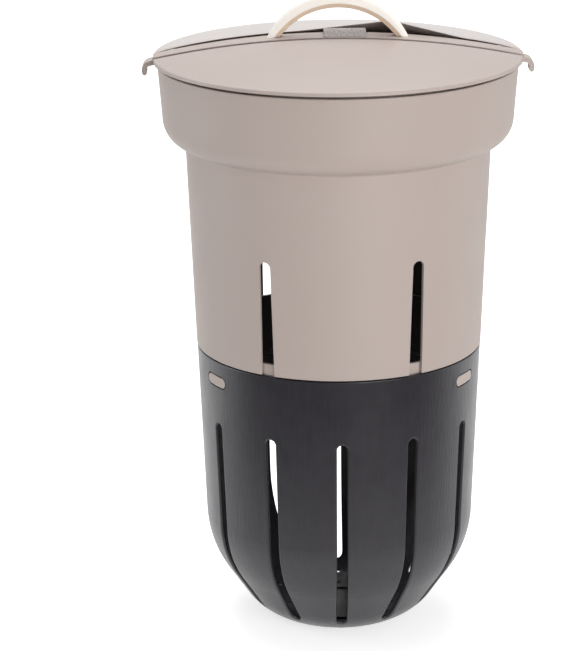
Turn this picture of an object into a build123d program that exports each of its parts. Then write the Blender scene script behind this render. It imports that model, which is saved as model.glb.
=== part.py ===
from build123d import *
from math import cos, hypot, radians, sin, sqrt, tan
import os

# In-ground worm composter: a slotted basket that is buried, a drafted tube with a wide collar above it,
# and a lid of two half-moon flaps on a central bridge that carries the handle.
# Lengths are in millimetres and angles in degrees. The flat foot rests on Z = 0, the bridge runs along X,
# and the front of the composter faces -Y.

os.makedirs("parts", exist_ok=True)

# Tube and collar
joint_height = 255.4
tube_height = 178.7
collar_height = 68.4
tube_radius = 124.6
tube_draft = 2.19
tube_wall = 3.0
collar_overhang = 17.9
collar_draft = 4.25
shoulder_slope = 13.5
shoulder_round = 22.0
shoulder_root_round = 2.2
rim_round = 1.2
tube_slot_count = 6
tube_slot_sill = 9.2
tube_slot_length = 91.0
tube_slot_top_width = 10.6
tube_slot_foot_width = 12.6
joint_round = 0.7

# Spigot that plugs the tube into the basket, with its three press-in latches
spigot_depth = 42.4
spigot_wall = 2.5
spigot_gap = 0.3
latch_azimuths = {"left": -60, "right": 60, "rear": 180}
latch_tongue_width = 35.0
latch_slit = 0.5
latch_root_drop = 1.0
latch_root_gap = 0.3
latch_drop = 18.9
latch_button_length = 28.0
latch_button_height = 9.2
latch_button_proud = 0.3
latch_button_round = 0.8
latch_window_gap = 1.0

# Basket
basket_step = 0.4
joint_gap = 1.2
basket_draft = 2.22
basket_wall = 3.0
bowl_height = 71.9
bowl_lean = 34.4
bowl_round = 93.7
foot_round = 56.8
seat_width = 3.2
seat_thickness = 3.0
basket_slot_count = 12
basket_slot_width = 9.0
basket_slot_foot = 17.0
basket_slot_length = 180.0
basket_slot_round = 1.8
drain_hole_radius = 2.5
drain_ring_radii = (20.0, 46.0, 63.0)
drain_ring_counts = (6, 12, 12)
floor_rib_inset = 4.0
floor_rib_width = 2.0
floor_rib_height = 1.4

# Lid flaps
lid_edge_lift = 2.7
lid_edge_overhang = 3.5
lid_edge_thickness = 3.1
lid_edge_width = 4.0
lid_edge_round = 1.3
dome_rise = 19.3
flap_skin = 2.4
front_flap_gap = 4.0
rear_flap_gap = 3.5
thumb_lip_centre = 46.0
thumb_lip_left_reach = 112.0
thumb_lip_right_reach = 64.0
thumb_lip_height = 9.9
thumb_lip_round = 40.0
thumb_lip_depth = 40.0
thumb_lip_sink = 0.3
thumb_lip_edge = 0.6
thumb_lip_edge_depth = 3.2

# Lid frame: ring, bridge and hooks
lid_seat_gap = 0.3
ring_wall = 2.3
ring_depth = 14.0
ring_clearance = 0.5
gutter_drop = 3.5
gutter_floor = 2.0
ring_lip_radius = 142.0
bridge_front = 11.5
bridge_rear = 12.0
bridge_rear_bow = 8.0
bridge_edge_lift = 0.2
bridge_crown = 1.0
bridge_depth = 9.0
bridge_wall = 2.6
bridge_lip = 1.5
bridge_lip_reach = 1.5
bridge_end_block = 18.0
hook_start = 6.0
hook_arm = 8.6
hook_bend = 6.0
hook_turn = 88.0
hook_tip = 1.4
hook_thickness = 4.1
hook_width = 16.0
hook_forward = 2.0

# Flap hinges
front_pin_radius = 1.0
front_knuckle_radius = 2.0
front_hinge_cover = 1.2
front_hinge_lead = 0.6
front_barrel_length = 21.6
front_ear_width = 5.0
ear_gap = 0.4
pocket_gap = 0.6
rear_pin_radius = 1.2
rear_knuckle_radius = 2.6
rear_hinge_reach = 3.9
rear_hinge_rise = 0.7
rear_barrel_length = 28.0
rear_ear_width = 6.0
rear_arm_depth = 3.0
pin_clearance = 0.04

# Handle and badge plate
handle_rise = 35.7
handle_outer_radius = 66.4
handle_foot_length = 10.9
handle_thickness = 12.7
handle_width = 10.0
handle_round = 3.0
handle_bevel_reach = 4.2
handle_bevel_depth = 3.0
tenon_length = 9.0
tenon_thickness = 7.0
tenon_width = 6.0
tenon_gap = 0.3
barb_reach = 1.2
barb_gap = 0.4
badge_length = 36.0
badge_offset = 6.0
badge_margin = 0.2
badge_front_height = 0.6
badge_rear_height = 2.8
badge_round = 1.5
badge_peg_radius = 1.5
badge_peg_spacing = 20.0
badge_peg_length = 4.0

# Inside this radius the slots of all sides run together in the solid core that the hollowing removes
slot_core = 40.0

# Derived levels and radii shared by the pieces
rim_height = joint_height + tube_height + collar_height
shoulder_height = joint_height + tube_height
shoulder_radius = tube_radius + tube_height * tan(radians(tube_draft))
collar_root_radius = shoulder_radius + collar_overhang
collar_root_height = shoulder_height + collar_overhang * tan(radians(shoulder_slope))
rim_radius = collar_root_radius + (rim_height - collar_root_height) * tan(radians(collar_draft))
mouth_radius = rim_radius - tube_wall / cos(radians(collar_draft))
basket_top = joint_height - joint_gap
basket_radius = tube_radius - basket_step
seat_height = joint_height - spigot_depth
latch_root_height = joint_height - latch_root_drop
latch_height = joint_height - latch_drop
lid_radius = rim_radius + lid_edge_overhang
lid_edge_bottom = rim_height + lid_edge_lift
lid_edge_top = lid_edge_bottom + lid_edge_thickness
dome_top = rim_height + lid_edge_lift + dome_rise
dome_drop = dome_top - lid_edge_top
dome_radius = (lid_radius**2 + dome_drop**2) / (2 * dome_drop)
dome_centre = dome_top - dome_radius
bridge_top = dome_top + bridge_edge_lift + bridge_crown
bridge_centre = bridge_top - dome_radius
front_chord = bridge_front + front_flap_gap
rear_chord = bridge_rear + rear_flap_gap
front_hinge_y = -front_chord - front_hinge_lead
front_hinge_z = dome_top - front_hinge_cover - lid_seat_gap - front_knuckle_radius
rear_hinge_y = lid_radius + rear_hinge_reach
rear_hinge_z = rim_height + rear_hinge_rise


def basket_outer_radius(height):
    """Outside radius of the drafted basket wall at a height above the bowl."""
    return basket_radius - (basket_top - height) * tan(radians(basket_draft))


def spigot_outer_radius(height):
    """Outside radius of the spigot, which follows the inside of the basket wall with the fit's gap."""
    return basket_outer_radius(height) - basket_wall / cos(radians(basket_draft)) - spigot_gap


def spigot_inner_radius(height):
    """Inside radius of the spigot at a height."""
    return spigot_outer_radius(height) - spigot_wall


def dome_height(x, y, drop=0):
    """Height over a point of the plan of the dome's outer surface, or of one parallel to it and inside by the drop."""
    return dome_centre + sqrt((dome_radius - drop)**2 - x**2 - y**2)


def strip_plan(front, rear):
    """Plan of the strip between the flaps: straight in front, and behind it a long arc that closes in at the rim."""
    with BuildSketch() as plan:
        with BuildLine():
            ThreePointArc((lid_radius, rear - bridge_rear_bow), (0, rear), (-lid_radius, rear - bridge_rear_bow))
            Polyline((-lid_radius, rear - bridge_rear_bow), (-lid_radius, -front),
                     (lid_radius, -front), (lid_radius, rear - bridge_rear_bow))
        make_face()
    return plan.sketch


def side_plane(azimuth):
    """Vertical plane through the axis whose normal points out of the vessel at this azimuth from the front."""
    return Plane.XZ.rotated((0, 0, azimuth))


def turned_shell(corners, rounds, wall):
    """Thin wall under an outline: the corners are rounded, the wall lies inside, and the section is turned."""
    with BuildPart() as shell:
        with BuildSketch(Plane.XZ):
            with BuildLine():
                outline = FilletPolyline(*corners, radius=rounds)
                offset(outline, amount=wall, side=Side.LEFT)
            make_face()
        revolve(axis=Axis.Z)
    return shell.part


def turned_core(corners, rounds, wall):
    """Solid that fills the hollow inside the turned shell of the same outline."""
    with BuildPart() as core:
        with BuildSketch(Plane.XZ):
            with BuildLine():
                outline = FilletPolyline(*corners, radius=rounds)
                Polyline(outline @ 1, (0, corners[-1][1]), corners[0])
            make_face()
            with BuildLine():
                offset(FilletPolyline(*corners, radius=rounds), amount=wall, side=Side.LEFT)
            make_face(mode=Mode.SUBTRACT)
        revolve(axis=Axis.Z)
    return core.part


def turned_ring(corners):
    """Solid ring whose section is the polygon through the corners."""
    with BuildPart() as ring:
        with BuildSketch(Plane.XZ):
            with BuildLine():
                Polyline(*corners, close=True)
            make_face()
        revolve(axis=Axis.Z)
    return ring.part


def mouth_edges(edges, low, high):
    """Edges where slots between two heights break through a wall: neither straight nor turned about the axis."""
    def breaks_through(edge):
        spot = edge.center()
        turned = edge.geom_type == GeomType.CIRCLE and hypot(edge.arc_center.X, edge.arc_center.Y) < slot_core
        return (edge.geom_type != GeomType.LINE and not turned
                and low < spot.Z < high and hypot(spot.X, spot.Y) > slot_core)
    return edges.filter_by(breaks_through)


def save(part, name):
    """Label a finished piece and write its file."""
    part.label = name
    export_step(part, f"parts/{name}.step")


# Basket
bowl_corner = (basket_outer_radius(bowl_height), bowl_height)
foot_corner = (bowl_corner[0] - bowl_height * tan(radians(bowl_lean)), 0)
over_top = basket_top + basket_wall
seat_radius = basket_outer_radius(seat_height) - basket_wall / 2
seat_bore = seat_radius + basket_wall / 2 - basket_wall - seat_width

floor_radius = foot_corner[0] - foot_round * tan(radians(90 - bowl_lean) / 2)
rib_radius = floor_radius - floor_rib_inset
basket_outline = [(0, 0), foot_corner, bowl_corner, (basket_outer_radius(over_top), over_top)]
basket_slot_top = basket_slot_foot + basket_slot_length

with BuildPart() as basket:
    with BuildSketch(Plane.XZ):
        with BuildLine():
            skin = FilletPolyline(*basket_outline, radius=[foot_round, bowl_round])
            Polyline(skin @ 1, (0, over_top), (0, 0))
        make_face()
    revolve(axis=Axis.Z)
    for slot in range(basket_slot_count):
        with BuildSketch(side_plane(slot * 360 / basket_slot_count)):
            with Locations((0, basket_slot_foot + basket_slot_length / 2)):
                SlotOverall(basket_slot_length, basket_slot_width, rotation=90)
        extrude(amount=rim_radius, mode=Mode.SUBTRACT)
    fillet(mouth_edges(basket.edges(), basket_slot_foot - basket_wall, basket_slot_top + basket_wall),
           radius=basket_slot_round)
    add(turned_core(basket_outline, [foot_round, bowl_round], basket_wall), mode=Mode.SUBTRACT)
    split(bisect_by=Plane.XY.offset(basket_top), keep=Keep.BOTTOM)
    fillet(basket.edges().group_by(Axis.Z)[-1].sort_by(SortBy.LENGTH)[-1:], radius=joint_round)
    add(turned_ring([(seat_radius, seat_height), (seat_bore, seat_height),
                     (seat_bore, seat_height - seat_thickness),
                     (seat_radius, seat_height - seat_thickness - seat_width)]))
    add(turned_ring([(rib_radius, basket_wall / 2), (rib_radius + floor_rib_width, basket_wall / 2),
                     (rib_radius + floor_rib_width, basket_wall + floor_rib_height),
                     (rib_radius, basket_wall + floor_rib_height)]))
    for azimuth in latch_azimuths.values():
        with BuildSketch(side_plane(azimuth)):
            with Locations((0, latch_height)):
                SlotOverall(latch_button_length + 2 * latch_window_gap, latch_button_height + 2 * latch_window_gap)
        extrude(amount=rim_radius, mode=Mode.SUBTRACT)
    for ring_radius, hole_count in zip(drain_ring_radii, drain_ring_counts):
        with BuildSketch(Plane.XY):
            with PolarLocations(ring_radius, hole_count):
                Circle(drain_hole_radius)
        extrude(amount=bowl_height / 2, mode=Mode.SUBTRACT)
save(basket.part, "basket")

# Tube, collar and spigot, moulded as one piece
sill_height = joint_height + tube_slot_sill
tube_seam_radius = tube_radius - tube_wall / 2
under_joint = joint_height - tube_wall
over_rim = rim_height + tube_wall
slot_crown = sill_height + tube_slot_length - tube_slot_top_width / 2

with BuildPart() as upper_body:
    add(turned_shell([(tube_radius - tube_wall * tan(radians(tube_draft)), under_joint),
                      (shoulder_radius, shoulder_height),
                      (collar_root_radius, collar_root_height),
                      (rim_radius + tube_wall * tan(radians(collar_draft)), over_rim)],
                     [shoulder_root_round, shoulder_round], tube_wall))
    split(bisect_by=Plane.XY.offset(joint_height), keep=Keep.TOP)
    split(bisect_by=Plane.XY.offset(rim_height), keep=Keep.BOTTOM)
    fillet(upper_body.edges().group_by(Axis.Z)[-1], radius=rim_round)
    fillet(upper_body.edges().group_by(Axis.Z)[0].sort_by(SortBy.LENGTH)[-1:], radius=joint_round)
    add(turned_ring([(spigot_inner_radius(seat_height), seat_height),
                     (spigot_outer_radius(seat_height), seat_height),
                     (spigot_outer_radius(joint_height), joint_height),
                     (tube_seam_radius, joint_height),
                     (tube_seam_radius, sill_height),
                     (spigot_inner_radius(joint_height), sill_height)]))
    for slot in range(tube_slot_count):
        side = side_plane((slot + 0.5) * 360 / tube_slot_count)
        with BuildSketch(side):
            with BuildLine():
                Polyline((-tube_slot_top_width / 2, slot_crown), (-tube_slot_foot_width / 2, sill_height),
                         (tube_slot_foot_width / 2, sill_height), (tube_slot_top_width / 2, slot_crown))
                ThreePointArc((tube_slot_top_width / 2, slot_crown),
                              (0, slot_crown + tube_slot_top_width / 2),
                              (-tube_slot_top_width / 2, slot_crown))
            make_face()
        extrude(amount=rim_radius, mode=Mode.SUBTRACT)
        with BuildSketch(side.offset(spigot_outer_radius(joint_height) + spigot_gap)):
            with Locations((0, joint_height + tube_slot_sill / 2)):
                Rectangle(tube_slot_foot_width, tube_slot_sill)
        extrude(amount=tube_wall * 3, mode=Mode.SUBTRACT)
    for azimuth in latch_azimuths.values():
        with BuildSketch(side_plane(azimuth)):
            with Locations((0, seat_height)):
                Rectangle(latch_tongue_width + 2 * latch_slit, latch_root_height - seat_height,
                          align=(Align.CENTER, Align.MIN))
        extrude(amount=rim_radius, mode=Mode.SUBTRACT)
save(upper_body.part, "upper_body")

# Latches: a curved tongue of the spigot's section with an oblong button that fills the basket's window
tongue_foot = seat_height + latch_slit
tongue_root = latch_root_height - latch_root_gap
button_radius = basket_outer_radius(latch_height) + latch_button_proud

for side_name, azimuth in latch_azimuths.items():
    side = side_plane(azimuth)
    with BuildPart() as button:
        with BuildSketch(side.offset(spigot_inner_radius(latch_height) - spigot_wall)):
            with Locations((0, latch_height)):
                SlotOverall(latch_button_length, latch_button_height)
        extrude(amount=basket_wall * 4)
        with BuildSketch(Plane.XY.offset(seat_height)):
            Circle(button_radius)
            Circle(spigot_inner_radius(latch_height) + spigot_wall / 2, mode=Mode.SUBTRACT)
        extrude(amount=spigot_depth, mode=Mode.INTERSECT)
        fillet(button.faces().sort_by(Axis((0, 0, 0), side.z_dir))[-1].edges(), radius=latch_button_round)
    with BuildPart() as latch:
        add(turned_ring([(spigot_inner_radius(tongue_foot), tongue_foot),
                         (spigot_outer_radius(tongue_foot), tongue_foot),
                         (spigot_outer_radius(tongue_root), tongue_root),
                         (spigot_inner_radius(tongue_root), tongue_root)]))
        with BuildSketch(side):
            with Locations((0, seat_height)):
                Rectangle(latch_tongue_width, spigot_depth, align=(Align.CENTER, Align.MIN))
        extrude(amount=rim_radius, mode=Mode.INTERSECT)
        add(button.part)
    save(latch.part, f"latch_{side_name}")

# Bridge: an arch-topped channel from rim to rim, open underneath, with ears for the front flap's pin
frame_bottom = rim_height + lid_seat_gap
ear_inner = front_barrel_length / 2 + ear_gap
ear_outer = ear_inner + front_ear_width
ear_seat = -bridge_front + bridge_lip_reach + bridge_wall / 2
ear_foot = bridge_top - bridge_depth - front_knuckle_radius
foot_outer = sqrt(handle_outer_radius**2 - (handle_outer_radius - handle_rise)**2)
foot_inner = foot_outer - handle_foot_length
tenon_x = (foot_outer + foot_inner) / 2
badge_pegs = [(badge_offset - badge_peg_spacing / 2, 0), (badge_offset + badge_peg_spacing / 2, 0)]


def arched_bar(top, depth):
    """Bar with a crowned top, turned about the dome's axis so that it arches from rim to rim with the flaps."""
    with BuildPart() as half:
        with BuildSketch(Plane.YZ):
            with BuildLine():
                ThreePointArc((-rear_chord, top - bridge_crown), (0, top), (rear_chord, top - bridge_crown))
                Polyline((rear_chord, top - bridge_crown), (rear_chord, top - depth),
                         (-rear_chord, top - depth), (-rear_chord, top - bridge_crown))
            make_face()
        revolve(axis=Axis((0, 0, bridge_centre), (0, 1, 0)), revolution_arc=15)
    with BuildPart() as bar:
        add(half.part)
        mirror(half.part, about=Plane.YZ)
    return bar.part


def arched_strip(top, depth, inset, half_length):
    """Arched bar cut to the plan of the strip, drawn in by the inset on both sides and cut off at both ends."""
    with BuildPart() as strip:
        add(arched_bar(top, depth))
        with BuildSketch(Plane.XY.offset(frame_bottom)):
            add(strip_plan(bridge_front - inset, bridge_rear - inset))
            Rectangle(2 * half_length, 2 * rear_chord, mode=Mode.INTERSECT)
        extrude(amount=dome_rise * 2, mode=Mode.INTERSECT)
    return strip.part


with BuildPart() as bridge:
    add(arched_strip(bridge_top, bridge_depth, bridge_lip_reach, lid_radius))
    add(arched_strip(bridge_top, bridge_lip, 0, lid_radius))
    add(arched_strip(bridge_top - bridge_wall, bridge_depth, bridge_lip_reach + bridge_wall,
                     lid_radius - bridge_end_block), mode=Mode.SUBTRACT)
    for side in (-1, 1):
        with BuildSketch(Plane.YZ.offset(side * (ear_inner + ear_outer) / 2)):
            with Locations((front_hinge_y, front_hinge_z)):
                Circle(front_knuckle_radius)
            with BuildLine():
                Polyline((front_hinge_y, front_hinge_z - front_knuckle_radius),
                         (front_hinge_y + front_knuckle_radius, front_hinge_z - front_knuckle_radius / 2),
                         (-bridge_front, front_hinge_z - bridge_wall), (ear_seat, front_hinge_z - bridge_wall),
                         (ear_seat, ear_foot), (-bridge_front, ear_foot), close=True)
            make_face()
            with Locations((front_hinge_y, front_hinge_z)):
                Circle(front_pin_radius, mode=Mode.SUBTRACT)
        extrude(amount=front_ear_width / 2, both=True)
    with BuildSketch(Plane.XY.offset(bridge_top)):
        with Locations((-tenon_x, 0), (tenon_x, 0)):
            Rectangle(tenon_thickness + 2 * tenon_gap, tenon_width + 2 * tenon_gap)
        with Locations(*badge_pegs):
            Circle(badge_peg_radius)
    extrude(amount=-bridge_depth, mode=Mode.SUBTRACT)

# Hook: a band that leaves the end of the bridge along the dome and curls down outside the collar
hook_slope = rim_radius / dome_radius
hook_level = frame_bottom + hook_thickness / 2 * sqrt(1 + hook_slope**2)
hook_root = (lid_radius - hook_start, hook_level + (rim_radius - lid_radius + hook_start) * hook_slope)

with BuildPart() as hook:
    with BuildSketch(Plane.XZ.offset(hook_forward - hook_width / 2)):
        with BuildLine():
            arm = Line(hook_root, (hook_root[0] + hook_arm, hook_root[1] - hook_arm * hook_slope))
            bend = JernArc(arm @ 1, arm % 1, hook_bend, -hook_turn)
            Line(bend @ 1, bend @ 1 + (bend % 1) * hook_tip)
            offset(amount=hook_thickness / 2)
        make_face()
    extrude(amount=hook_width)

# Lid frame: the bridge and its hooks on a ring that drops into the mouth and holds a rain gutter under the
# flaps' edge, with ears for the rear flap's pin
ring_foot = rim_height - ring_depth
ring_radius = mouth_radius - ring_clearance
ring_foot_radius = ring_radius - ring_depth * tan(radians(collar_draft))
gutter_height = rim_height - gutter_drop
lip_inner = ring_lip_radius - ring_wall
lip_top = dome_height(ring_lip_radius, 0, flap_skin) - lid_seat_gap
ring_inner = ring_radius - ring_wall
ear_face = ring_foot_radius - ring_wall
ear_post = ear_face - ring_wall
rear_ear_top = lid_edge_bottom - lid_seat_gap
rear_ear_middle = rear_barrel_length / 2 + ear_gap + rear_ear_width / 2

with BuildPart() as lid_frame:
    add(turned_ring([(ring_foot_radius, ring_foot), (ring_radius, gutter_height),
                     (ring_lip_radius, gutter_height), (ring_lip_radius, lip_top), (lip_inner, lip_top),
                     (lip_inner, gutter_height - gutter_floor), (ring_inner, gutter_height - gutter_floor),
                     (ring_foot_radius - ring_wall, ring_foot)]))
    add(bridge.part)
    add(hook.part)
    mirror(hook.part, about=Plane.YZ)
    for side in (-1, 1):
        with BuildSketch(Plane.YZ.offset(side * rear_ear_middle)):
            with BuildLine():
                Polyline((ear_post, gutter_height - gutter_floor), (ear_post, rear_ear_top),
                         (lid_radius, rear_ear_top), (rear_hinge_y, rear_hinge_z + rear_knuckle_radius),
                         (rear_hinge_y, frame_bottom), (ear_face, frame_bottom),
                         (ear_face, gutter_height - gutter_floor), close=True)
            make_face()
            with Locations((rear_hinge_y, rear_hinge_z)):
                Circle(rear_knuckle_radius)
                Circle(rear_pin_radius, mode=Mode.SUBTRACT)
        extrude(amount=rear_ear_width / 2, both=True)
save(lid_frame.part, "lid_frame")

# Flaps: one domed disc with a thick edge, parted by the strip of the bridge
with BuildPart() as disc:
    with BuildSketch(Plane.XZ):
        with BuildLine():
            rim_inner = lid_radius - lid_edge_width
            half_way = lid_radius / 2
            ThreePointArc((0, dome_top), (half_way, dome_height(half_way, 0)), (lid_radius, lid_edge_top))
            Polyline((lid_radius, lid_edge_top), (lid_radius, lid_edge_bottom), (rim_inner, lid_edge_bottom),
                     (rim_inner, dome_height(rim_inner, 0, flap_skin)))
            ThreePointArc((rim_inner, dome_height(rim_inner, 0, flap_skin)),
                          (half_way, dome_height(half_way, 0, flap_skin)), (0, dome_top - flap_skin))
            Line((0, dome_top - flap_skin), (0, dome_top))
        make_face()
    revolve(axis=Axis.Z)
    fillet(disc.edges().group_by(SortBy.LENGTH)[-1].sort_by(Axis.Z)[-1], radius=lid_edge_round)

with BuildPart() as front_flap:
    add(disc.part)
    split(bisect_by=Plane.XZ.offset(front_chord), keep=Keep.TOP)
    with BuildSketch(Plane.YZ):
        with Locations((front_hinge_y, front_hinge_z)):
            Circle(front_knuckle_radius)
            Rectangle(2 * front_knuckle_radius, front_knuckle_radius, align=(Align.MAX, Align.MIN))
    extrude(amount=front_barrel_length / 2, both=True)
    with BuildSketch(Plane.YZ):
        with Locations((front_hinge_y, front_hinge_z)):
            Circle(front_pin_radius + pin_clearance)
    extrude(amount=front_barrel_length / 2, both=True, mode=Mode.SUBTRACT)
    for side in (-1, 1):
        with Locations((side * (ear_inner + ear_outer) / 2, front_hinge_y, dome_top - front_hinge_cover)):
            Box(front_ear_width + 2 * ear_gap, 2 * (front_knuckle_radius + pocket_gap), dome_rise,
                align=(Align.CENTER, Align.CENTER, Align.MAX), mode=Mode.SUBTRACT)
save(front_flap.part, "front_flap")

# Rear flap: its front edge swells into a thumb lip, a hollow cone that runs back to a point on the dome
lip_start = thumb_lip_centre - thumb_lip_left_reach
lip_end = thumb_lip_centre + thumb_lip_right_reach
lip_middle = (lip_start + lip_end) / 2
lip_tip = rear_chord + thumb_lip_depth


def lip_cone(drop, tip_drop, base):
    """Cone from the thumb lip's mouth to its tip; the drops lower its crest and tip, base is the mouth's depth."""
    def on_dome(x, lift=0):
        return (x, dome_height(x, bridge_rear) + lift)

    with BuildSketch(Plane.XZ.offset(-bridge_rear)) as mouth:
        with BuildLine():
            FilletPolyline(on_dome(lip_start, -thumb_lip_sink - drop),
                           on_dome(thumb_lip_centre, thumb_lip_height - drop),
                           on_dome(lip_end, -thumb_lip_sink - drop), radius=thumb_lip_round)
            Line(on_dome(lip_end, -thumb_lip_sink - drop), on_dome(lip_end, -base))
            ThreePointArc(on_dome(lip_end, -base), on_dome(lip_middle, -base), on_dome(lip_start, -base))
            Line(on_dome(lip_start, -base), on_dome(lip_start, -thumb_lip_sink - drop))
        make_face()
    tip_height = dome_height(thumb_lip_centre, lip_tip) - thumb_lip_sink - tip_drop
    with BuildPart() as cone:
        loft(sections=[mouth.sketch, Vertex(thumb_lip_centre, lip_tip, tip_height)])
    return cone.part


edge_slope = (flap_skin - thumb_lip_edge) / thumb_lip_edge_depth
edge_drop = thumb_lip_edge - edge_slope * rear_flap_gap

with BuildPart() as rear_flap:
    add(disc.part)
    add(lip_cone(0, 0, flap_skin - thumb_lip_sink))
    with BuildSketch(Plane.XY.offset(lid_edge_bottom)):
        Circle(lid_radius)
        add(strip_plan(lid_radius, rear_chord), mode=Mode.SUBTRACT)
    extrude(amount=dome_rise * 2, mode=Mode.INTERSECT)
    add(lip_cone(flap_skin, flap_skin, 2 * flap_skin + thumb_lip_sink), mode=Mode.SUBTRACT)
    add(lip_cone(edge_drop, edge_drop + edge_slope * thumb_lip_depth, 2 * flap_skin + thumb_lip_sink),
        mode=Mode.SUBTRACT)
    with BuildSketch(Plane.YZ):
        with BuildLine():
            Polyline((lid_radius - rear_arm_depth, lid_edge_bottom),
                     (lid_radius - rear_arm_depth, lid_edge_top - lid_edge_round),
                     (lid_radius - lid_edge_round, lid_edge_top - lid_edge_round),
                     (rear_hinge_y, rear_hinge_z + rear_knuckle_radius), (rear_hinge_y, rear_hinge_z),
                     close=True)
        make_face()
        with Locations((rear_hinge_y, rear_hinge_z)):
            Circle(rear_knuckle_radius)
            Circle(rear_pin_radius + pin_clearance, mode=Mode.SUBTRACT)
    extrude(amount=rear_barrel_length / 2, both=True)
save(rear_flap.part, "rear_flap")

# Hinge pins, held by the ears and free in the barrels
with BuildPart() as front_hinge_pin:
    with BuildSketch(Plane.YZ):
        with Locations((front_hinge_y, front_hinge_z)):
            Circle(front_pin_radius)
    extrude(amount=ear_outer, both=True)
save(front_hinge_pin.part, "front_hinge_pin")

with BuildPart() as rear_hinge_pin:
    with BuildSketch(Plane.YZ):
        with Locations((rear_hinge_y, rear_hinge_z)):
            Circle(rear_pin_radius)
    extrude(amount=rear_ear_middle + rear_ear_width / 2, both=True)
save(rear_hinge_pin.part, "rear_hinge_pin")

# Handle: a crescent-thickened arch on the bridge, clipped through it by two barbed tenons
handle_top = bridge_top + handle_rise
opening_rise = handle_rise - handle_thickness
handle_inner_radius = (foot_inner**2 + opening_rise**2) / (2 * opening_rise)
opening_centre = bridge_top + opening_rise - handle_inner_radius
opening_crown = bridge_top + opening_rise
tenon_foot = bridge_top - tenon_length
barb_x = tenon_x + tenon_thickness / 2 + barb_reach
catch_height = dome_height(tenon_x, 0) + bridge_edge_lift - bridge_wall - barb_gap
bevel_foot = opening_crown - handle_bevel_reach
bevel_top = opening_crown + handle_bevel_reach
bevel_inner = handle_width / 2 - 2 * handle_bevel_depth
bevel_outer = handle_width / 2

with BuildPart() as carry_handle:
    with BuildSketch(Plane.XZ):
        with Locations((0, handle_top - handle_outer_radius)):
            Circle(handle_outer_radius)
        with Locations((0, opening_centre)):
            Circle(handle_inner_radius, mode=Mode.SUBTRACT)
        with Locations((0, handle_top)):
            Rectangle(4 * handle_outer_radius, handle_rise + handle_thickness, align=(Align.CENTER, Align.MAX),
                      mode=Mode.INTERSECT)
    extrude(amount=handle_width / 2, both=True)
    fillet(carry_handle.edges().filter_by(GeomType.CIRCLE).sort_by(Axis.Z)[-2:], radius=handle_round)
    for side in (-1, 1):
        with BuildSketch(Plane.YZ):
            with BuildLine():
                Polyline((side * bevel_inner, bevel_foot), (side * bevel_outer, bevel_top),
                         (side * handle_width, bevel_top), (side * handle_width, bevel_foot), close=True)
            make_face()
        revolve(axis=Axis((0, 0, opening_centre), (0, 1, 0)), mode=Mode.SUBTRACT)
    add(arched_bar(bridge_top, bridge_depth * 2), mode=Mode.SUBTRACT)
    for side in (-1, 1):
        with BuildSketch(Plane.XZ):
            with Locations((side * tenon_x, bridge_top)):
                Rectangle(tenon_thickness, tenon_length, align=(Align.CENTER, Align.MAX))
            with BuildLine():
                Polyline((side * tenon_x, catch_height), (side * barb_x, catch_height),
                         (side * (tenon_x + tenon_thickness / 2), tenon_foot), (side * tenon_x, tenon_foot),
                         close=True)
            make_face()
        extrude(amount=tenon_width / 2, both=True)
save(carry_handle.part, "carry_handle")

# Badge plate: a blank wedge across the bridge, pressed in by two pegs
with BuildPart() as badge_plate:
    with BuildSketch(Plane.YZ.offset(badge_offset)):
        with BuildLine():
            Polyline((-bridge_front + badge_margin, bridge_top - bridge_wall),
                     (-bridge_front + badge_margin, bridge_top + badge_front_height),
                     (bridge_rear - badge_margin, bridge_top + badge_rear_height),
                     (bridge_rear - badge_margin, bridge_top - bridge_wall), close=True)
        make_face()
    extrude(amount=badge_length / 2, both=True)
    fillet(badge_plate.edges().filter_by(Axis.Z), radius=badge_round)
    add(arched_bar(bridge_top, bridge_depth * 2), mode=Mode.SUBTRACT)
    with BuildSketch(Plane.XY.offset(bridge_top)):
        with Locations(*badge_pegs):
            Circle(badge_peg_radius)
    extrude(amount=-badge_peg_length)
save(badge_plate.part, "badge_plate")
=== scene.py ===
# %% [markdown]
# # An in-ground worm composter
# The object is a two-part plastic vessel: a taupe tube with a wide collar stands in a black slotted basket, and a
# domed lid in two flaps closes the top. The solid model gives every piece its true size and place, so this lesson
# starts by loading it. All measures below are in metres, and Z points up.

# %% Load the frame
import math

import bmesh
import bpy
from mathutils import Matrix, Vector


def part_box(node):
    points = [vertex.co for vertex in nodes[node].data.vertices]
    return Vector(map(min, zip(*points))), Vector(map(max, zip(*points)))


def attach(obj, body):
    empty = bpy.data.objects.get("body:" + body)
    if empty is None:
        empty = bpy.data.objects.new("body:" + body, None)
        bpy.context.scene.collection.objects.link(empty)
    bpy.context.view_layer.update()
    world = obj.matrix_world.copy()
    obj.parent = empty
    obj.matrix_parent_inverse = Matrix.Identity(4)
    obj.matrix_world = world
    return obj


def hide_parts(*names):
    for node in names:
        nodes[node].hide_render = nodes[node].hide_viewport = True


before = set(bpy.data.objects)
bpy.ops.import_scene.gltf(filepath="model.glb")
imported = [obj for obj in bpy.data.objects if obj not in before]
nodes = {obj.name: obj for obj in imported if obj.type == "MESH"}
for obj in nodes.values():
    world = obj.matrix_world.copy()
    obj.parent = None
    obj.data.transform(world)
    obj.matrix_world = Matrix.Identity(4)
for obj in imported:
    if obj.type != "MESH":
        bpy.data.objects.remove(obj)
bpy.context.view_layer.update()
print("pieces in the frame:", ", ".join(sorted(nodes)))

# %% [markdown]
# ## The camera
# A product photograph is easiest to match when the camera comes first. This one stands 2.3 m in front of the
# vessel and a little above its lid, and looks down at 17 degrees. A long lens keeps the sides of the tube nearly
# straight. The camera's turn is written as its right, up and backward directions, the three columns of its matrix.

# %% Camera
LENS_MM, SENSOR_MM = 150.93, 36.0

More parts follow.
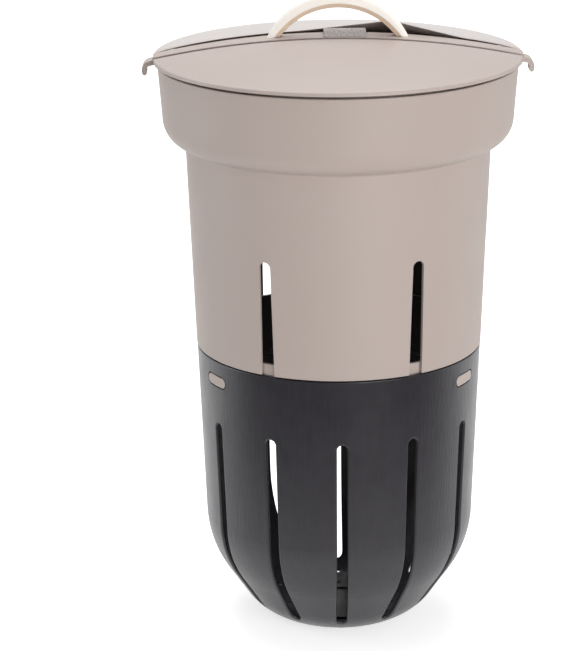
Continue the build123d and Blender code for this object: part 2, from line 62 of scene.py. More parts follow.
camera_data = bpy.data.cameras.new("photo_camera")
camera_data.sensor_width = SENSOR_MM
camera_data.lens = LENS_MM
camera = bpy.data.objects.new("photo_camera", camera_data)
right = Vector((0.99995, -0.00546, -0.00872)).normalized()
forward = Vector((0.00265, 0.95564, -0.29454)).normalized()
up = right.cross(forward).normalized()
camera_place = Matrix.Translation((-0.0539, -2.2921, 0.9730))
camera.matrix_world = camera_place @ Matrix((right, up, -forward)).transposed().to_4x4()
bpy.context.scene.collection.objects.link(camera)
bpy.context.scene.camera = camera
print("camera %.2f m from the vessel's axis" % camera.location.xy.length)

# %% [markdown]
# ## Helpers for node trees
# Every material and every shape below is a small graph of nodes. A few short functions keep the graphs readable. One
# makes a Math node, one eases a value from one number to another, and two say where a point lies on its own piece.

# %% Node helpers


def calc(tree, operation, *values, clamp=False):
    """One Math node. Each value is a number or a socket."""
    node = tree.nodes.new("ShaderNodeMath")
    node.operation = operation
    node.use_clamp = clamp
    for socket, value in zip(node.inputs, values):
        if isinstance(value, (int, float)):
            socket.default_value = value
        else:
            tree.links.new(value, socket)
    return node.outputs[0]


def eased(tree, value, start, end, low=0.0, high=1.0):
    """A value that runs from low to high while the input runs from start to end, and stops there."""
    node = tree.nodes.new("ShaderNodeMapRange")
    for name, number in (("From Min", start), ("From Max", end), ("To Min", low), ("To Max", high)):
        node.inputs[name].default_value = number
    tree.links.new(value, node.inputs["Value"])
    return node.outputs["Result"]


def place_on_piece(tree):
    """The place of a point in metres, measured on its own piece."""
    return tree.nodes.new("ShaderNodeTexCoord").outputs["Object"]


def split(tree, vector):
    """The X, Y and Z of a vector, by name."""
    node = tree.nodes.new("ShaderNodeSeparateXYZ")
    tree.links.new(vector, node.inputs[0])
    return node.outputs


def length(tree, vector):
    node = tree.nodes.new("ShaderNodeVectorMath")
    node.operation = "LENGTH"
    tree.links.new(vector, node.inputs[0])
    return node.outputs["Value"]


def mixed_shader(tree, factor, first, second):
    """A shader that is the first where the factor is 0 and the second where it is 1."""
    node = tree.nodes.new("ShaderNodeMixShader")
    for socket, value in zip(node.inputs, (factor, first, second)):
        tree.links.new(value, socket)
    return node.outputs[0]


# %% [markdown]
# ## The world
# The photograph is a high-key studio shot: everything round the object is nearly white. The eye and clear things see
# a white world, and a dimmer one lights the object. Reflections see a third one, which is dark in front and white
# behind. It leaves the black basket's front dark and puts bright edges on both its sides.

# %% World
scene = bpy.context.scene
scene.view_settings.view_transform = "Standard"
world = bpy.data.worlds.new("studio")
scene.world = world
world.use_nodes = True
tree = world.node_tree
tree.nodes.clear()


def ray_kinds(tree):
    """Two values: the first is 1 where the eye looks, directly or through glass, the second in a reflection."""
    path = tree.nodes.new("ShaderNodeLightPath")
    by_eye = calc(tree, "MAXIMUM", path.outputs["Is Camera Ray"], path.outputs["Is Transmission Ray"])
    return by_eye, path.outputs["Is Glossy Ray"]


def ramp(tree, value, stops):
    """A colour ramp of grey levels. Every stop is a position and a level."""
    node = tree.nodes.new("ShaderNodeValToRGB")
    while len(node.color_ramp.elements) < len(stops):
        node.color_ramp.elements.new(0.5)
    for element, (position, level) in zip(node.color_ramp.elements, stops):
        element.position = position
        element.color = (level, level, level, 1)
    tree.links.new(value, node.inputs["Fac"])
    return node.outputs["Color"]


WORLD_LIGHT = 0.42
STUDIO_DEPTH = [(0.0, 0.02), (0.22, 0.05), (0.42, 0.6), (0.60, 0.9)]
backdrop = tree.nodes.new("ShaderNodeBackground")
backdrop.inputs["Color"].default_value = (1, 1, 1, 1)
fill = tree.nodes.new("ShaderNodeBackground")
fill.inputs["Color"].default_value = (0.97, 0.98, 1.0, 1)
fill.inputs["Strength"].default_value = WORLD_LIGHT
gloss = tree.nodes.new("ShaderNodeBackground")
looking = split(tree, tree.nodes.new("ShaderNodeTexCoord").outputs["Generated"])
from_front = eased(tree, looking["Y"], -1.0, 1.0)
tree.links.new(ramp(tree, from_front, STUDIO_DEPTH), gloss.inputs["Color"])
seen, mirrored = ray_kinds(tree)
light = mixed_shader(tree, mirrored, fill.outputs[0], gloss.outputs[0])
out = tree.nodes.new("ShaderNodeOutputWorld")
tree.links.new(mixed_shader(tree, seen, light, backdrop.outputs[0]), out.inputs["Surface"])
print("world: white to the eye, %.2f for light" % WORLD_LIGHT)

# %% [markdown]
# ## The lamps
# Four large soft boxes shape the vessel. The key stands low in front and to the right, so the tube is as light as the
# collar. One box hangs over the lid, and two faint strips lift the sides. Large lamps give soft edges to the shadows.

# %% Lamps


def softbox(name, place, aim, width, height, watts, colour=(1, 1, 1)):
    """A rectangular area lamp that stands at a place and faces a point."""
    data = bpy.data.lights.new(name, "AREA")
    data.shape = "RECTANGLE"
    data.size = width
    data.size_y = height
    data.energy = watts
    data.color = colour
    lamp = bpy.data.objects.new(name, data)
    lamp.location = place
    lamp.rotation_euler = (Vector(aim) - Vector(place)).to_track_quat("-Z", "Y").to_euler()
    scene.collection.objects.link(lamp)


softbox("key_softbox", (1.0, -2.3, 0.75), (0, 0, 0.22), 1.4, 1.2, 37, (1.0, 0.985, 0.97))
softbox("top_softbox", (-0.1, 0.5, 2.2), (0, 0, 0.4), 1.6, 1.6, 28)
softbox("left_strip", (-1.7, 0.1, 0.35), (0, 0, 0.15), 0.5, 1.4, 8)
softbox("right_strip", (1.7, 0.35, 0.7), (0, 0, 0.3), 0.5, 1.6, 2)

# %% [markdown]
# ## The floor
# The floor is matt and keeps a faint shadow, so the vessel stands on something. A glow that only the eye and the
# reflections see lifts it to white, and it is stronger behind the vessel, where the slots look through. In
# reflections the floor turns dark away from the vessel's foot on the front side, as the studio round it does.

# %% Floor
FLOOR_HALF = 6.0
FLOOR_GREY, UNLIT_GREY = 0.72, 0.02
FLOOR_GLOW, BACK_GLOW, BACK_GLOW_FULL = 0.63, 0.35, 0.25
LIT_RADIUS, DARK_RADIUS, DARK_SHARE = 0.20, 0.60, 0.9
FRONT_FADE = 0.25
floor_mesh = bpy.data.meshes.new("studio_floor")
floor_mesh.from_pydata([(-FLOOR_HALF, -FLOOR_HALF, 0), (FLOOR_HALF, -FLOOR_HALF, 0),
                        (FLOOR_HALF, FLOOR_HALF, 0), (-FLOOR_HALF, FLOOR_HALF, 0)], [], [(0, 1, 2, 3)])
floor = bpy.data.objects.new("studio_floor", floor_mesh)
scene.collection.objects.link(floor)
floor_paint = bpy.data.materials.new("white_sweep")
floor_paint.use_nodes = True
tree = floor_paint.node_tree
tree.nodes.clear()


def matt(tree, grey):
    node = tree.nodes.new("ShaderNodeBsdfDiffuse")
    node.inputs["Color"].default_value = (grey, grey, grey, 1)
    return node.outputs[0]


seen, mirrored = ray_kinds(tree)
on_floor = place_on_piece(tree)
floor_y = split(tree, on_floor)["Y"]
even_glow = calc(tree, "MULTIPLY", calc(tree, "MAXIMUM", seen, mirrored), FLOOR_GLOW)
back_glow = eased(tree, floor_y, 0.0, BACK_GLOW_FULL, high=BACK_GLOW)
glow = tree.nodes.new("ShaderNodeEmission")
tree.links.new(calc(tree, "MULTIPLY_ADD", back_glow, seen, even_glow), glow.inputs["Strength"])
both = tree.nodes.new("ShaderNodeAddShader")
tree.links.new(matt(tree, FLOOR_GREY), both.inputs[0])
tree.links.new(glow.outputs[0], both.inputs[1])

far_out = eased(tree, length(tree, on_floor), LIT_RADIUS, DARK_RADIUS, high=DARK_SHARE)
in_front = eased(tree, floor_y, FRONT_FADE, -FRONT_FADE)
dark = calc(tree, "MULTIPLY", calc(tree, "MULTIPLY", far_out, in_front), mirrored)
out = tree.nodes.new("ShaderNodeOutputMaterial")
tree.links.new(mixed_shader(tree, dark, both.outputs[0], matt(tree, UNLIT_GREY)), out.inputs["Surface"])
floor_mesh.materials.append(floor_paint)
print("floor: %.0f m square" % (2 * FLOOR_HALF))

# %% [markdown]
# ## Plastics
# Moulded plastic is never one flat colour. Its skin has a fine grain from the steel mould, its gloss varies from
# place to place, and large walls show faint clouds where the melt flowed. Noise textures on Object coordinates give
# all three, because they stick to the piece and are measured in metres. A Bevel node finds the sharp edges: there it
# bends the light as a small rounding would, and a lighter colour there is partly wear and partly painted highlight.

# %% Plastic maker
# Sharp edges get a lighter colour: partly wear, partly a painted highlight.
WEAR_AND_HIGHLIGHT_START, WEAR_AND_HIGHLIGHT_FULL, WEAR_AND_HIGHLIGHT_SHARE = 0.99, 0.80, 0.7
GLOSS_PATCH = 0.03
COLOUR_STREAK, SKIN_STREAK = (1, 1, 0.06), (1, 1, 0.12)


def linear(r, g, b):
    """The linear colour of an 8-bit screen colour."""
    return tuple(((v / 255 + 0.055) / 1.055) ** 2.4 if v > 10 else v / 255 / 12.92 for v in (r, g, b)) + (1,)


def noise(tree, size, detail, stretch=(1, 1, 1)):
    """A cloud of grey values whose lumps have this size in metres."""
    mapping = tree.nodes.new("ShaderNodeMapping")
    mapping.inputs["Scale"].default_value = stretch
    tree.links.new(place_on_piece(tree), mapping.inputs["Vector"])
    node = tree.nodes.new("ShaderNodeTexNoise")
    node.inputs["Scale"].default_value = 1 / size
    node.inputs["Detail"].default_value = detail
    tree.links.new(mapping.outputs[0], node.inputs["Vector"])
    return node.outputs["Fac"]


def blend_colours(tree, factor, first, second):
    """A mix of two colours, each a colour or a socket."""
    mix = tree.nodes.new("ShaderNodeMix")
    mix.data_type = "RGBA"
    tree.links.new(factor, mix.inputs["Factor"])
    for socket, colour in ((mix.inputs["A"], first), (mix.inputs["B"], second)):
        if isinstance(colour, tuple):
            socket.default_value = colour
        else:
            tree.links.new(colour, socket)
    return mix.outputs["Result"]


def bumped(tree, height, depth, normal=None):
    """A bump of this depth in metres, on top of another normal if there is one."""
    bump = tree.nodes.new("ShaderNodeBump")
    bump.inputs["Strength"].default_value = 1.0
    bump.inputs["Distance"].default_value = depth
    tree.links.new(height, bump.inputs["Height"])
    if normal:
        tree.links.new(normal, bump.inputs["Normal"])
    return bump.outputs["Normal"]


def dot(tree, first, second):
    node = tree.nodes.new("ShaderNodeVectorMath")
    node.operation = "DOT_PRODUCT"
    tree.links.new(first, node.inputs[0])
    tree.links.new(second, node.inputs[1])
    return node.outputs["Value"]


def moulded_plastic(name, colour, cloud, wear_and_highlight, gloss, grain=(0.0006, 0.00003), cloud_size=0.16, edge=0.0006,
                    streaks=None, specular=0.5):
    """Plastic with clouds of a second colour, edges lighter by wear and painted highlight, a fine grain and, if asked
    for, upright streaks.
    """
    material = bpy.data.materials.new(name)
    material.use_nodes = True
    tree = material.node_tree
    bsdf = tree.nodes["Principled BSDF"]
    bsdf.inputs["Specular IOR Level"].default_value = specular
    rounding = tree.nodes.new("ShaderNodeBevel")
    rounding.samples = 4
    rounding.inputs["Radius"].default_value = edge
    flat = tree.nodes.new("ShaderNodeNewGeometry")
    turn = dot(tree, rounding.outputs["Normal"], flat.outputs["Normal"])
    base = blend_colours(tree, noise(tree, cloud_size, 3), colour, cloud)
    # Lighter colour on sharp edges: partly wear, partly a painted highlight.
    base = blend_colours(tree, eased(tree, turn, WEAR_AND_HIGHLIGHT_START, WEAR_AND_HIGHLIGHT_FULL, high=WEAR_AND_HIGHLIGHT_SHARE), base, wear_and_highlight)
    tree.links.new(eased(tree, noise(tree, GLOSS_PATCH, 4), 0.0, 1.0, *gloss), bsdf.inputs["Roughness"])
    normal = bumped(tree, noise(tree, grain[0], 2), grain[1], rounding.outputs["Normal"])
    if streaks:
        size, depth = streaks
        base = blend_colours(tree, noise(tree, size * 1.5, 4, COLOUR_STREAK), base, cloud)
        normal = bumped(tree, noise(tree, size, 3, SKIN_STREAK), depth, normal)
    tree.links.new(base, bsdf.inputs["Base Color"])
    tree.links.new(normal, bsdf.inputs["Normal"])
    return material


# %% [markdown]
# ## The four plastics
# Each plastic gets a colour, a cloud colour, an edge colour that is partly wear and partly painted highlight, and a
# range of roughness. The basket alone has streaks. A glossier coat covers the rear half of the lid, which faces away
# and is seen at a low angle. There a coat turns nearly white, as the far side of the lid does in the photograph.

# %% Tube, lid, basket and plate
tube_plastic = moulded_plastic("taupe_plastic", linear(182, 168, 162), linear(176, 163, 155), linear(222, 211, 206),
                               gloss=(0.42, 0.55))
lid_plastic = moulded_plastic("taupe_lid_plastic", linear(182, 168, 160), linear(180, 166, 161),
                              linear(206, 194, 186), gloss=(0.36, 0.48), cloud_size=0.10)
basket_plastic = moulded_plastic("black_plastic", linear(8, 7, 10), linear(42, 39, 46), linear(122, 120, 126),
                                 gloss=(0.24, 0.40), grain=(0.0009, 0.00008), streaks=(0.0018, 0.00022),
                                 cloud_size=0.012, edge=0.0008, specular=0.65)
badge_plastic = moulded_plastic("grey_plate", linear(214, 206, 202), linear(104, 98, 94), linear(226, 220, 216),
                                gloss=(0.45, 0.65), grain=(0.0015, 0.0008), cloud_size=0.0022)

COAT_START, COAT_FULL, COAT_ROUGHNESS = 0.010, 0.022, 0.24
tree = lid_plastic.node_tree
bsdf = tree.nodes["Principled BSDF"]
bsdf.inputs["Coat Roughness"].default_value = COAT_ROUGHNESS
lid_y = split(tree, place_on_piece(tree))["Y"]
tree.links.new(eased(tree, lid_y, COAT_START, COAT_FULL), bsdf.inputs["Coat Weight"])
print("plastics:", ", ".join(m.name for m in (tube_plastic, lid_plastic, basket_plastic, badge_plastic)))

# %% [markdown]
# ## Painted shade in the seams
# Shade gathers in every seam: under the lid's edge, along the bridge, round the latch buttons and under the
# tube's foot. An Ambient Occlusion node looks a few millimetres round each point. Where the walls crowd in, a dark
# brown is mixed over the plastic as painted shade.

# %% Painted shade in the seams
SHADE_REACH, SHADE_SHARE = 0.004, 0.9
SHADE_OPEN, SHADE_TIGHT = 0.75, 0.35


def lay_over(material, factor, colour):
    """Lay a colour over what the material has, as far as the factor says."""
    base = material.node_tree.nodes["Principled BSDF"].inputs["Base Color"]
    below = base.links[0].from_socket
    material.node_tree.links.new(blend_colours(material.node_tree, factor, below, colour), base)


for material in (tube_plastic, lid_plastic, badge_plastic):
    tree = material.node_tree
    occlusion = tree.nodes.new("ShaderNodeAmbientOcclusion")
    occlusion.samples = 8
    occlusion.inputs["Distance"].default_value = SHADE_REACH
    # Painted shade: dark brown where the occlusion says the walls crowd in.
    seam_shade = eased(tree, occlusion.outputs["AO"], SHADE_OPEN, SHADE_TIGHT, high=SHADE_SHARE)
    lay_over(material, seam_shade, linear(26, 20, 17))
print("seams: painted_shade within %.0f mm" % (SHADE_REACH * 1000))

# %% [markdown]
# ## A shaded inside
# The inside of the tube is painted dark below a set height, as painted shade for the deep shadow there. A wall faces
# inwards where its normal points at the axis, so the dot product of place and normal is negative there.

# %% Painted shade inside the tube
INNER_SHADE_TOP, INNER_SHADE_FULL = 0.40, 0.33
FACING_START, FACING_FULL = -0.04, -0.09
tree = tube_plastic.node_tree
axes = split(tree, place_on_piece(tree))
flat_place = tree.nodes.new("ShaderNodeCombineXYZ")
tree.links.new(axes["X"], flat_place.inputs["X"])
tree.links.new(axes["Y"], flat_place.inputs["Y"])
facing = dot(tree, flat_place.outputs[0], tree.nodes.new("ShaderNodeNewGeometry").outputs["Normal"])
# Painted shade: inward-facing walls of the tube turn darker towards the bottom.
inner_shade = calc(tree, "MULTIPLY", eased(tree, facing, FACING_START, FACING_FULL),
             eased(tree, axes["Z"], INNER_SHADE_TOP, INNER_SHADE_FULL))
lay_over(tube_plastic, inner_shade, linear(40, 31, 26))
print("stain: full below %.2f m" % INNER_SHADE_FULL)

# %% [markdown]
# ## The handle's shaded grip
# The handle is a cream moulding. Its faces are nearly white, and the bevel round the finger opening is painted a
# warmer tan as painted shade, because it faces down. The opening is an arc, so the distance from the arc's centre says
# where the bevel is. That centre is worked out from the handle's own box and the arc's radius.

# %% Handle plastic
HANDLE_CROWN = 0.0127
OPENING_RADIUS = 0.0616
BEVEL_REACH, BEVEL_SOLID = 0.0042, 0.8
handle_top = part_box("carry_handle")[1].z
opening_centre = handle_top - HANDLE_CROWN - OPENING_RADIUS

handle_plastic = moulded_plastic("cream_plastic", linear(250, 246, 240), linear(248, 243, 235),
                                 linear(252, 249, 245), gloss=(0.35, 0.45), cloud_size=0.03)
tree = handle_plastic.node_tree
centred = tree.nodes.new("ShaderNodeMapping")
centred.inputs["Location"].default_value = (0, 0, -opening_centre)
centred.inputs["Scale"].default_value = (1, 0, 1)
tree.links.new(place_on_piece(tree), centred.inputs["Vector"])
from_centre = length(tree, centred.outputs[0])
# Painted shade: the downward-facing bevel round the finger opening is coloured tan.
bevel_shade = eased(tree, from_centre, OPENING_RADIUS + BEVEL_REACH, OPENING_RADIUS + BEVEL_REACH * BEVEL_SOLID)
lay_over(handle_plastic, bevel_shade, linear(224, 203, 180))
print("finger opening: centre %.3f m high" % opening_centre)

# %% [markdown]
# ## Steel pins
# Both hinge pins are drawn wire. Drawing leaves fine lines along the wire, so the noise is stretched along X.

# %% Steel
WIRE_LINE, WIRE_DEPTH = 0.0003, 0.00001
pin_steel = bpy.data.materials.new("drawn_steel")
pin_steel.use_nodes = True
tree = pin_steel.node_tree
bsdf = tree.nodes["Principled BSDF"]
bsdf.inputs["Metallic"].default_value = 1.0
bsdf.inputs["Roughness"].default_value = 0.3
lines = noise(tree, WIRE_LINE, 3, (0.05, 1, 1))
tree.links.new(blend_colours(tree, lines, linear(196, 196, 199), linear(150, 150, 154)), bsdf.inputs["Base Color"])
tree.links.new(bumped(tree, lines, WIRE_DEPTH), bsdf.inputs["Normal"])
print("steel lines: %.1f mm wide" % (WIRE_LINE * 1000))

# %% [markdown]
# ## The rear flap
# The rear flap is a thin moulded half moon. Its surface follows one rule: a dome, plus a thumb lip that is a cone with
# its mouth at the bridge, plus a slight lift along the front edge, which stands a little above the bridge. A shape
# with a rule suits Geometry Nodes. The tree starts with a box that is a fine grid on its top and its bottom, and
# moves every point to where the rule puts it. All its sizes are named inputs, so they can be played with.

# %% Helpers for geometry trees


def geometry_tree(name, sizes, material):
    """An empty geometry tree with a named input for every size, and its last node sets the material."""
    tree = bpy.data.node_groups.new(name, "GeometryNodeTree")
    tree.interface.new_socket("Geometry", in_out="OUTPUT", socket_type="NodeSocketGeometry")
    for label, value in sizes.items():
        socket = tree.interface.new_socket(label, in_out="INPUT", socket_type="NodeSocketFloat")
        socket.default_value = value
    inputs = tree.nodes.new("NodeGroupInput")
    realize = tree.nodes.new("GeometryNodeRealizeInstances")
    paint = tree.nodes.new("GeometryNodeSetMaterial")
    paint.inputs["Material"].default_value = material
    output = tree.nodes.new("NodeGroupOutput")
    tree.links.new(realize.outputs[0], paint.inputs["Geometry"])
    tree.links.new(paint.outputs[0], output.inputs[0])
    return tree, inputs.outputs, realize.inputs[0]


def grown(name, tree, sizes):
    """Run a geometry tree on an empty mesh and return the result as an object with a plain mesh."""
    host = bpy.data.objects.new(name + "_host", bpy.data.meshes.new(name + "_host"))
    scene.collection.objects.link(host)
    modifier = host.modifiers.new("grow", "NODES")
    modifier.node_group = tree
    for item in tree.interface.items_tree:
        if item.in_out == "INPUT" and item.name in sizes:
            modifier[item.identifier] = sizes[item.name]
    evaluated = host.evaluated_get(bpy.context.evaluated_depsgraph_get())
    mesh = bpy.data.meshes.new_from_object(evaluated)
    host.modifiers.clear()
    bpy.data.objects.remove(host)
    mesh.name = name
    piece = bpy.data.objects.new(name, mesh)
    scene.collection.objects.link(piece)
    print("%s: %d faces" % (name, len(mesh.polygons)))
    return piece


# %% [markdown]
# ## The flap's outline and dome
# The plan is a half moon between a slightly bowed chord and the lid's circle. A sine packs the columns towards the
# pointed ends and a cosine packs the rows towards both edges, where the shape turns fastest. The dome is part of a
# ball, and its radius follows from the dome's rise and the lid's width.

# %% The rule of the rear flap
FLAP_SIZES = {"Lid radius": 0.1576, "Half span": 0.1573, "Dome top": 0.5245, "Edge top": 0.5083,
              "Chord": 0.0155, "Chord bow": 0.008, "Skin": 0.0024, "Rim thickness": 0.0031, "Rim width": 0.004,
              "Edge thickness": 0.0004, "Edge depth": 0.012, "Edge lift": 0.0020, "Lift reach": 0.06,
              "Lip mouth": 0.012, "Lip depth": 0.040, "Lip centre": 0.046, "Lip left": -0.066, "Lip right": 0.110,
              "Lip height": 0.0099, "Lip sink": 0.0003, "Lip round": 0.0038}
COLUMNS, ROWS = 161, 57

tree, size, target = geometry_tree("rear_flap_rule", FLAP_SIZES, lid_plastic)
box = tree.nodes.new("GeometryNodeMeshCube")
box.inputs["Size"].default_value = (2, 1, 1)
box.inputs["Vertices X"].default_value = COLUMNS
box.inputs["Vertices Y"].default_value = ROWS
where = tree.nodes.new("GeometryNodeInputPosition")
apart = tree.nodes.new("ShaderNodeSeparateXYZ")
tree.links.new(where.outputs[0], apart.inputs[0])


def f(operation, *values, clamp=False):
    """One Math node in the flap's tree."""
    return calc(tree, operation, *values, clamp=clamp)


along = f("SINE", f("MULTIPLY", apart.outputs["X"], math.pi / 2))
row_angle = f("MULTIPLY", f("ADD", apart.outputs["Y"], 0.5), math.pi)
across = f("MULTIPLY", f("SUBTRACT", 1.0, f("COSINE", row_angle)), 0.5)
x = f("MULTIPLY", along, size["Half span"])
radius_squared = f("POWER", size["Lid radius"], 2)
x_squared = f("POWER", x, 2)
bow = f("MULTIPLY", size["Chord bow"], f("DIVIDE", x_squared, radius_squared))
chord = f("SUBTRACT", size["Chord"], bow)
rim_y = f("SQRT", f("SUBTRACT", radius_squared, x_squared))
behind = f("MULTIPLY", across, f("SUBTRACT", rim_y, chord))
y = f("ADD", chord, behind)

drop = f("SUBTRACT", size["Dome top"], size["Edge top"])
sphere = f("DIVIDE", f("ADD", radius_squared, f("POWER", drop, 2)), f("MULTIPLY", drop, 2))
sphere_squared = f("POWER", sphere, 2)
sphere_centre = f("SUBTRACT", size["Dome top"], sphere)


def dome_at(x, y):
    """Height of the dome over a point of the plan."""
    reach = f("ADD", f("POWER", x, 2), f("POWER", y, 2))
    return f("ADD", sphere_centre, f("SQRT", f("SUBTRACT", sphere_squared, reach)))


def lip_foot(x):
    """Height at which the lip starts at its mouth, just under the dome."""
    return f("SUBTRACT", dome_at(x, size["Lip mouth"]), size["Lip sink"])


def slope_line(value, start, end, low, high):
    """The height on a straight line that is low at start and high at end."""
    share = f("DIVIDE", f("SUBTRACT", value, start), f("SUBTRACT", end, start))
    return f("ADD", low, f("MULTIPLY", share, f("SUBTRACT", high, low)))


# %% [markdown]
# ## The thumb lip
# The lip is a hollow cone lying on the dome. Its mouth is open towards the bridge and its tip sinks into the dome
# 40 mm behind it. In the mouth two straight sides meet in a rounded crest. Every line from the tip to the mouth is
# straight, so the height at any point follows from where its line meets the mouth.

# %% The thumb lip's cone
CONE_END, LEAST_REST, LIP_BLEND = 0.98, 0.02, 0.0006
share = f("DIVIDE", f("SUBTRACT", y, size["Lip mouth"]), size["Lip depth"])
rest = f("MAXIMUM", f("SUBTRACT", 1.0, share), LEAST_REST)
at_mouth = f("DIVIDE", f("SUBTRACT", x, f("MULTIPLY", share, size["Lip centre"])), rest)
crest = f("ADD", dome_at(size["Lip centre"], size["Lip mouth"]), size["Lip height"])
left_side = slope_line(at_mouth, size["Lip left"], size["Lip centre"], lip_foot(size["Lip left"]), crest)
right_side = slope_line(at_mouth, size["Lip right"], size["Lip centre"], lip_foot(size["Lip right"]), crest)
mouth = f("SMOOTH_MIN", left_side, right_side, size["Lip round"])
tip_y = f("ADD", size["Lip mouth"], size["Lip depth"])
tip = f("SUBTRACT", dome_at(size["Lip centre"], tip_y), size["Lip sink"])
cone = f("ADD", f("MULTIPLY", rest, mouth), f("MULTIPLY", share, tip))
dome = dome_at(x, y)
in_span = f("MULTIPLY", f("GREATER_THAN", at_mouth, size["Lip left"]), f("LESS_THAN", at_mouth, size["Lip right"]))
in_cone = f("MULTIPLY", in_span, f("LESS_THAN", share, CONE_END))
lip = f("MULTIPLY", f("SMOOTH_MAX", f("SUBTRACT", cone, dome), 0.0, LIP_BLEND), in_cone)

# %% [markdown]
# ## Edge and thickness
# The straight edge is lifted a little and the lift fades out behind it and at both ends. The skin thins out towards
# that edge and has a thicker band at the rim. Top and bottom of the box are moved by the same rule, half a thickness
# apart, and the four sides close the shape.

# %% Lift, thickness and the finished height
LIFT_ENDS, LIFT_FADE = 12, 2
nearness = f("SUBTRACT", 1.0, f("DIVIDE", behind, size["Lift reach"]), clamp=True)
ends = f("SUBTRACT", 1.0, f("POWER", f("ABSOLUTE", along), LIFT_ENDS))
lift = f("MULTIPLY", f("MULTIPLY", size["Edge lift"], f("POWER", nearness, LIFT_FADE)), ends)
top = f("ADD", f("ADD", dome, lip), lift)

into_edge = f("DIVIDE", behind, size["Edge depth"], clamp=True)
skin = f("ADD", size["Edge thickness"],
         f("MULTIPLY", into_edge, f("SUBTRACT", size["Skin"], size["Edge thickness"])))
from_rim = f("SUBTRACT", size["Lid radius"], f("SQRT", f("ADD", x_squared, f("POWER", y, 2))))
in_rim = f("LESS_THAN", from_rim, size["Rim width"])
thickness = f("ADD", skin, f("MULTIPLY", in_rim, f("SUBTRACT", size["Rim thickness"], size["Skin"])))
z = f("SUBTRACT", top, f("MULTIPLY", f("SUBTRACT", 0.5, apart.outputs["Z"]), thickness))

joined = tree.nodes.new("ShaderNodeCombineXYZ")
for value, socket in zip((x, y, z), joined.inputs):
    tree.links.new(value, socket)
move = tree.nodes.new("GeometryNodeSetPosition")
tree.links.new(box.outputs["Mesh"], move.inputs["Geometry"])
tree.links.new(joined.outputs[0], move.inputs["Position"])
tree.links.new(move.outputs[0], target)

rear_flap_skin = grown("rear_flap_skin", tree, FLAP_SIZES)
rear_flap_skin.data.shade_smooth()
SHARP_EDGE = math.radians(40)
rear_flap_skin.data.set_sharp_from_angle(angle=SHARP_EDGE)
print("rear flap, highest point: %.4f m" % max(v.co.z for v in rear_flap_skin.data.vertices))

# %% [markdown]
# ## The rear flap's hinge barrel
# Behind the rim the flap ends in a barrel that turns on the rear pin, on a short arm. The barrel is a profile in the
# YZ plane, drawn as two rings of points and bridged along X, so the bore stays open for the pin.

# %% Hinge barrel
HINGE_Y, HINGE_Z = 0.1615, 0.5032
BARREL_RADIUS, BORE_RADIUS, BARREL_HALF, BARREL_STEPS = 0.0026, 0.00124, 0.014, 32
ARM = [(0.1546, 0.5052), (0.1546, 0.5070), (0.1563, 0.5070), (0.1612, 0.5057), (0.1593, 0.5038)]


def swept_ring(bm, outer, inner, half):
    """A tube between two rings of points in the YZ plane, from -half to +half along X."""
    rings = [[bm.verts.new((side * half, *point)) for point in ring] for side in (-1, 1) for ring in (outer, inner)]
    count = len(outer)
    for first, second in ((0, 2), (3, 1), (1, 0), (2, 3)):
        for i in range(count):
            j = (i + 1) % count
            bm.faces.new((rings[first][i], rings[first][j], rings[second][j], rings[second][i]))


bm = bmesh.new()
turns = [i * math.tau / BARREL_STEPS for i in range(BARREL_STEPS)]
outer, bore = ([(HINGE_Y + radius * math.cos(a), HINGE_Z + radius * math.sin(a)) for a in turns]
               for radius in (BARREL_RADIUS, BORE_RADIUS))
swept_ring(bm, outer, bore, BARREL_HALF)
arm_ends = [[bm.verts.new((side * BARREL_HALF, *point)) for point in ARM] for side in (-1, 1)]
for arm_end in arm_ends:
    bm.faces.new(arm_end)
for i in range(len(ARM)):
    j = (i + 1) % len(ARM)
    bm.faces.new((arm_ends[0][i], arm_ends[0][j], arm_ends[1][j], arm_ends[1][i]))
bmesh.ops.recalc_face_normals(bm, faces=bm.faces)
barrel_mesh = bpy.data.meshes.new("rear_flap_barrel")
bm.to_mesh(barrel_mesh)
bm.free()
barrel_mesh.materials.append(lid_plastic)
barrel_mesh.shade_smooth()
barrel_mesh.set_sharp_from_angle(angle=SHARP_EDGE)
rear_flap_barrel = bpy.data.objects.new("rear_flap_barrel", barrel_mesh)
scene.collection.objects.link(rear_flap_barrel)
for piece in (rear_flap_skin, rear_flap_barrel):
    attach(piece, "rear_flap")
    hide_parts("rear_flap")
print("hinge barrel: bore %.2f mm across" % (BORE_RADIUS * 2000))

# %% [markdown]
# ## The badge plate's pebbled face
# The plate on the bridge is blank. Its face has a pebbled relief, as moulders use on places that get scratched. The
# pebbles are small flattened balls, set out on a grid that lies on the plate's slope, and a seed makes their sizes
# uneven. Instances keep this light until Realize Instances turns them into faces.

# %% Badge pebbles
badge_low, badge_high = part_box("badge_plate")
PEBBLE_SIZES = {"Length": 0.0335, "Width": 0.0205, "Spacing": 0.0017, "Pebble": 0.00085, "Seed": 7.0}
SMALLEST, LARGEST = (0.6, 0.6, 0.15), (1.25, 1.25, 0.45)
STRAY = 0.0005
PLATE_FRONT, PLATE_REAR = 0.0006, 0.0028
tree, size, target = geometry_tree("pebble_rule", PEBBLE_SIZES, badge_plastic)
grid = tree.nodes.new("GeometryNodeMeshGrid")
tree.links.new(size["Length"], grid.inputs["Size X"])
tree.links.new(size["Width"], grid.inputs["Size Y"])
tree.links.new(calc(tree, "DIVIDE", size["Length"], size["Spacing"]), grid.inputs["Vertices X"])
tree.links.new(calc(tree, "DIVIDE", size["Width"], size["Spacing"]), grid.inputs["Vertices Y"])
ball = tree.nodes.new("GeometryNodeMeshIcoSphere")
ball.inputs["Subdivisions"].default_value = 2
tree.links.new(size["Pebble"], ball.inputs["Radius"])
spread = tree.nodes.new("FunctionNodeRandomValue")
spread.data_type = "FLOAT_VECTOR"
spread.inputs["Min"].default_value = SMALLEST
spread.inputs["Max"].default_value = LARGEST
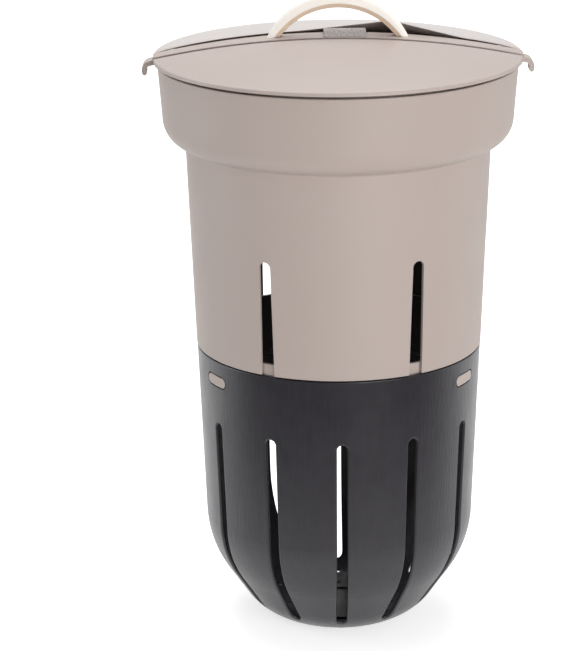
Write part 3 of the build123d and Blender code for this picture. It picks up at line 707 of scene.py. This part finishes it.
tree.links.new(size["Seed"], spread.inputs["Seed"])
wander = tree.nodes.new("FunctionNodeRandomValue")
wander.data_type = "FLOAT_VECTOR"
wander.inputs["Min"].default_value = (-STRAY, -STRAY, 0)
wander.inputs["Max"].default_value = (STRAY, STRAY, 0)
tree.links.new(calc(tree, "ADD", size["Seed"], 1.0), wander.inputs["Seed"])
stray = tree.nodes.new("GeometryNodeSetPosition")
tree.links.new(grid.outputs["Mesh"], stray.inputs["Geometry"])
tree.links.new(wander.outputs[0], stray.inputs["Offset"])
place = tree.nodes.new("GeometryNodeInstanceOnPoints")
tree.links.new(stray.outputs[0], place.inputs["Points"])
tree.links.new(ball.outputs["Mesh"], place.inputs["Instance"])
tree.links.new(spread.outputs[0], place.inputs["Scale"])
lean = tree.nodes.new("GeometryNodeTransform")
plate_slope = math.atan2(PLATE_REAR - PLATE_FRONT, badge_high.y - badge_low.y)
lean.inputs["Rotation"].default_value = (plate_slope, 0, 0)
lean.inputs["Translation"].default_value = ((badge_low.x + badge_high.x) / 2, (badge_low.y + badge_high.y) / 2,
                                            badge_high.z - (PLATE_REAR - PLATE_FRONT) / 2)
tree.links.new(place.outputs[0], lean.inputs["Geometry"])
tree.links.new(lean.outputs[0], target)
badge_pebbles = grown("badge_pebbles", tree, PEBBLE_SIZES)
badge_pebbles.data.shade_smooth()
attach(badge_pebbles, "lid")

# %% [markdown]
# ## Finishes
# The solids bring plain placeholder materials. Each slot gets the plastic or the steel that its piece is made of, and
# the meshes stay as they are.

# %% Give every piece its finish
finish_of = {"basket": basket_plastic, "upper_body": tube_plastic, "latch_left": tube_plastic,
             "latch_right": tube_plastic, "latch_rear": tube_plastic, "lid_frame": lid_plastic,
             "front_flap": lid_plastic, "rear_flap": lid_plastic, "carry_handle": handle_plastic,
             "badge_plate": badge_plastic, "front_hinge_pin": pin_steel, "rear_hinge_pin": pin_steel}
for name, finish in finish_of.items():
    for slot in nodes[name].material_slots:
        slot.material = finish
print("finished pieces:", len(finish_of))
